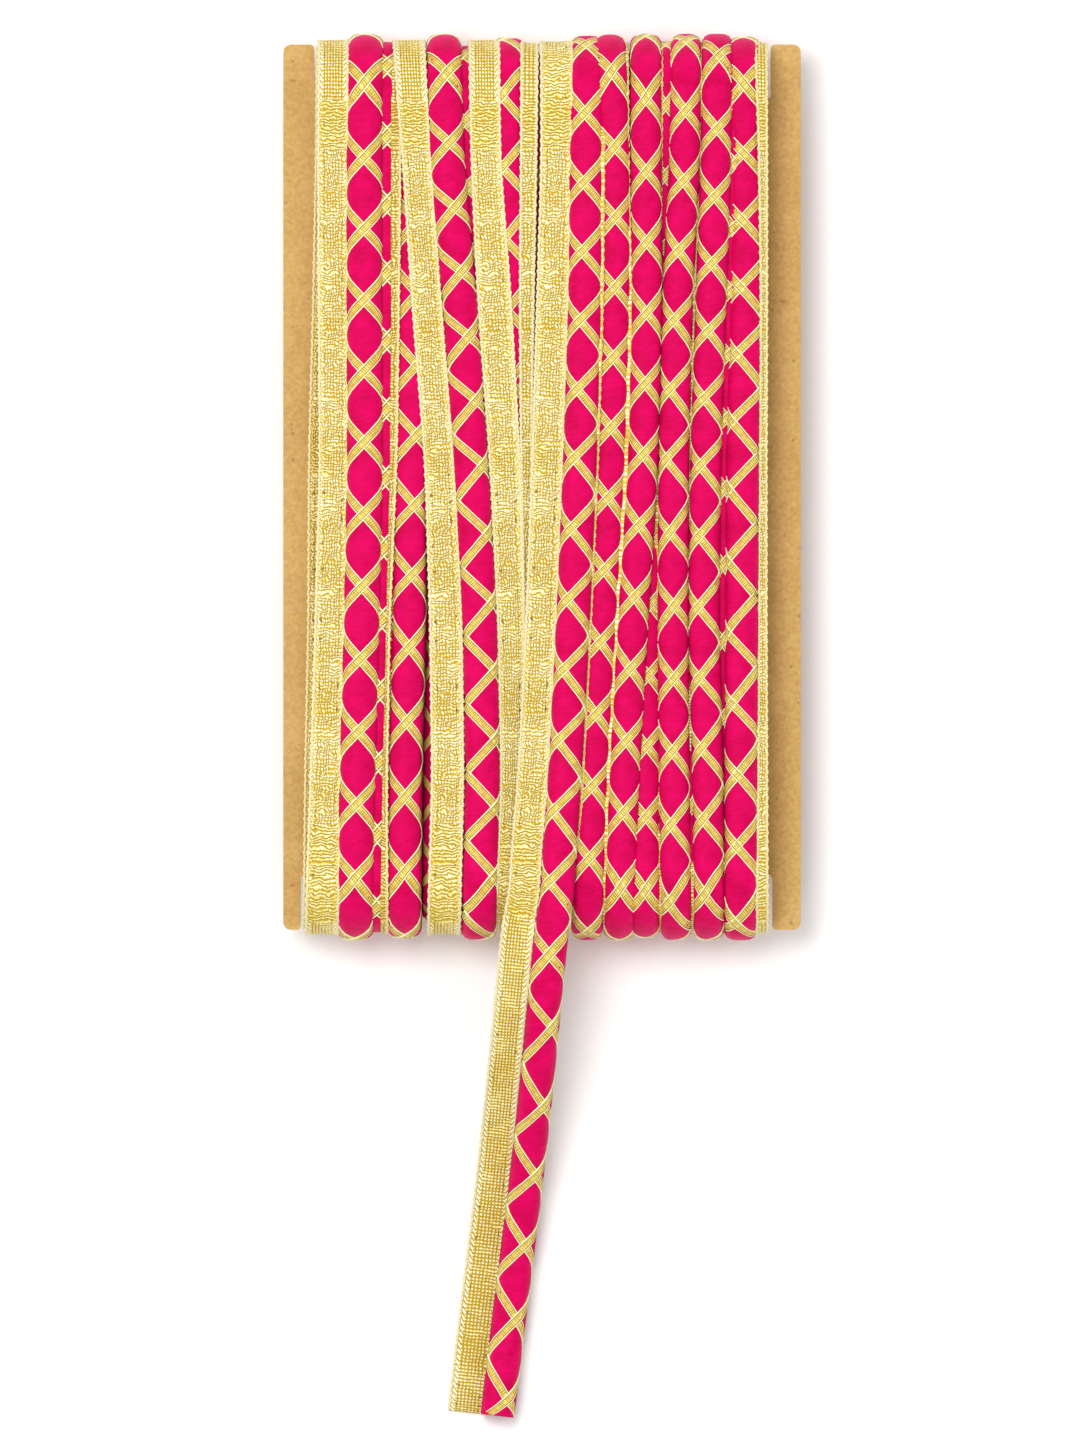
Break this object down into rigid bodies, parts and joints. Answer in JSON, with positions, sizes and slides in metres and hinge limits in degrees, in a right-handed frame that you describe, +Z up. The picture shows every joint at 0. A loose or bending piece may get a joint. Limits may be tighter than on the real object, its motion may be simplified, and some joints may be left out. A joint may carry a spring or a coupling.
{
  "type": "lace trim on winding card",
  "caption": "Covered piping cord with a woven gold tape and a crossing ribbon net, wound lengthwise in two layers round a plain card, with a straight loose end.",
  "frame": {"origin": "middle of the whole part's footprint, on the surface it lies on", "axes": "+Z up out of the wound front, +Y along the card towards its head, away from the loose end, +X to the right as the front is looked at"},
  "size_m": [0.0952, 0.2546, 0.0263],
  "materials": {
    "kraft_board": "plain brown kraft board, finely mottled",
    "piping_satin": "hot pink satin drawn round a cord",
    "woven_tape": "gold metallic yarn in a ribbed weave"
  },
  "bodies": {
    "root": {"winding_card": "kraft_board", "wound_trim": "piping_satin", "loose_end_piping": "piping_satin", "loose_end_tape": "woven_tape"}
  },
  "joints": []
}
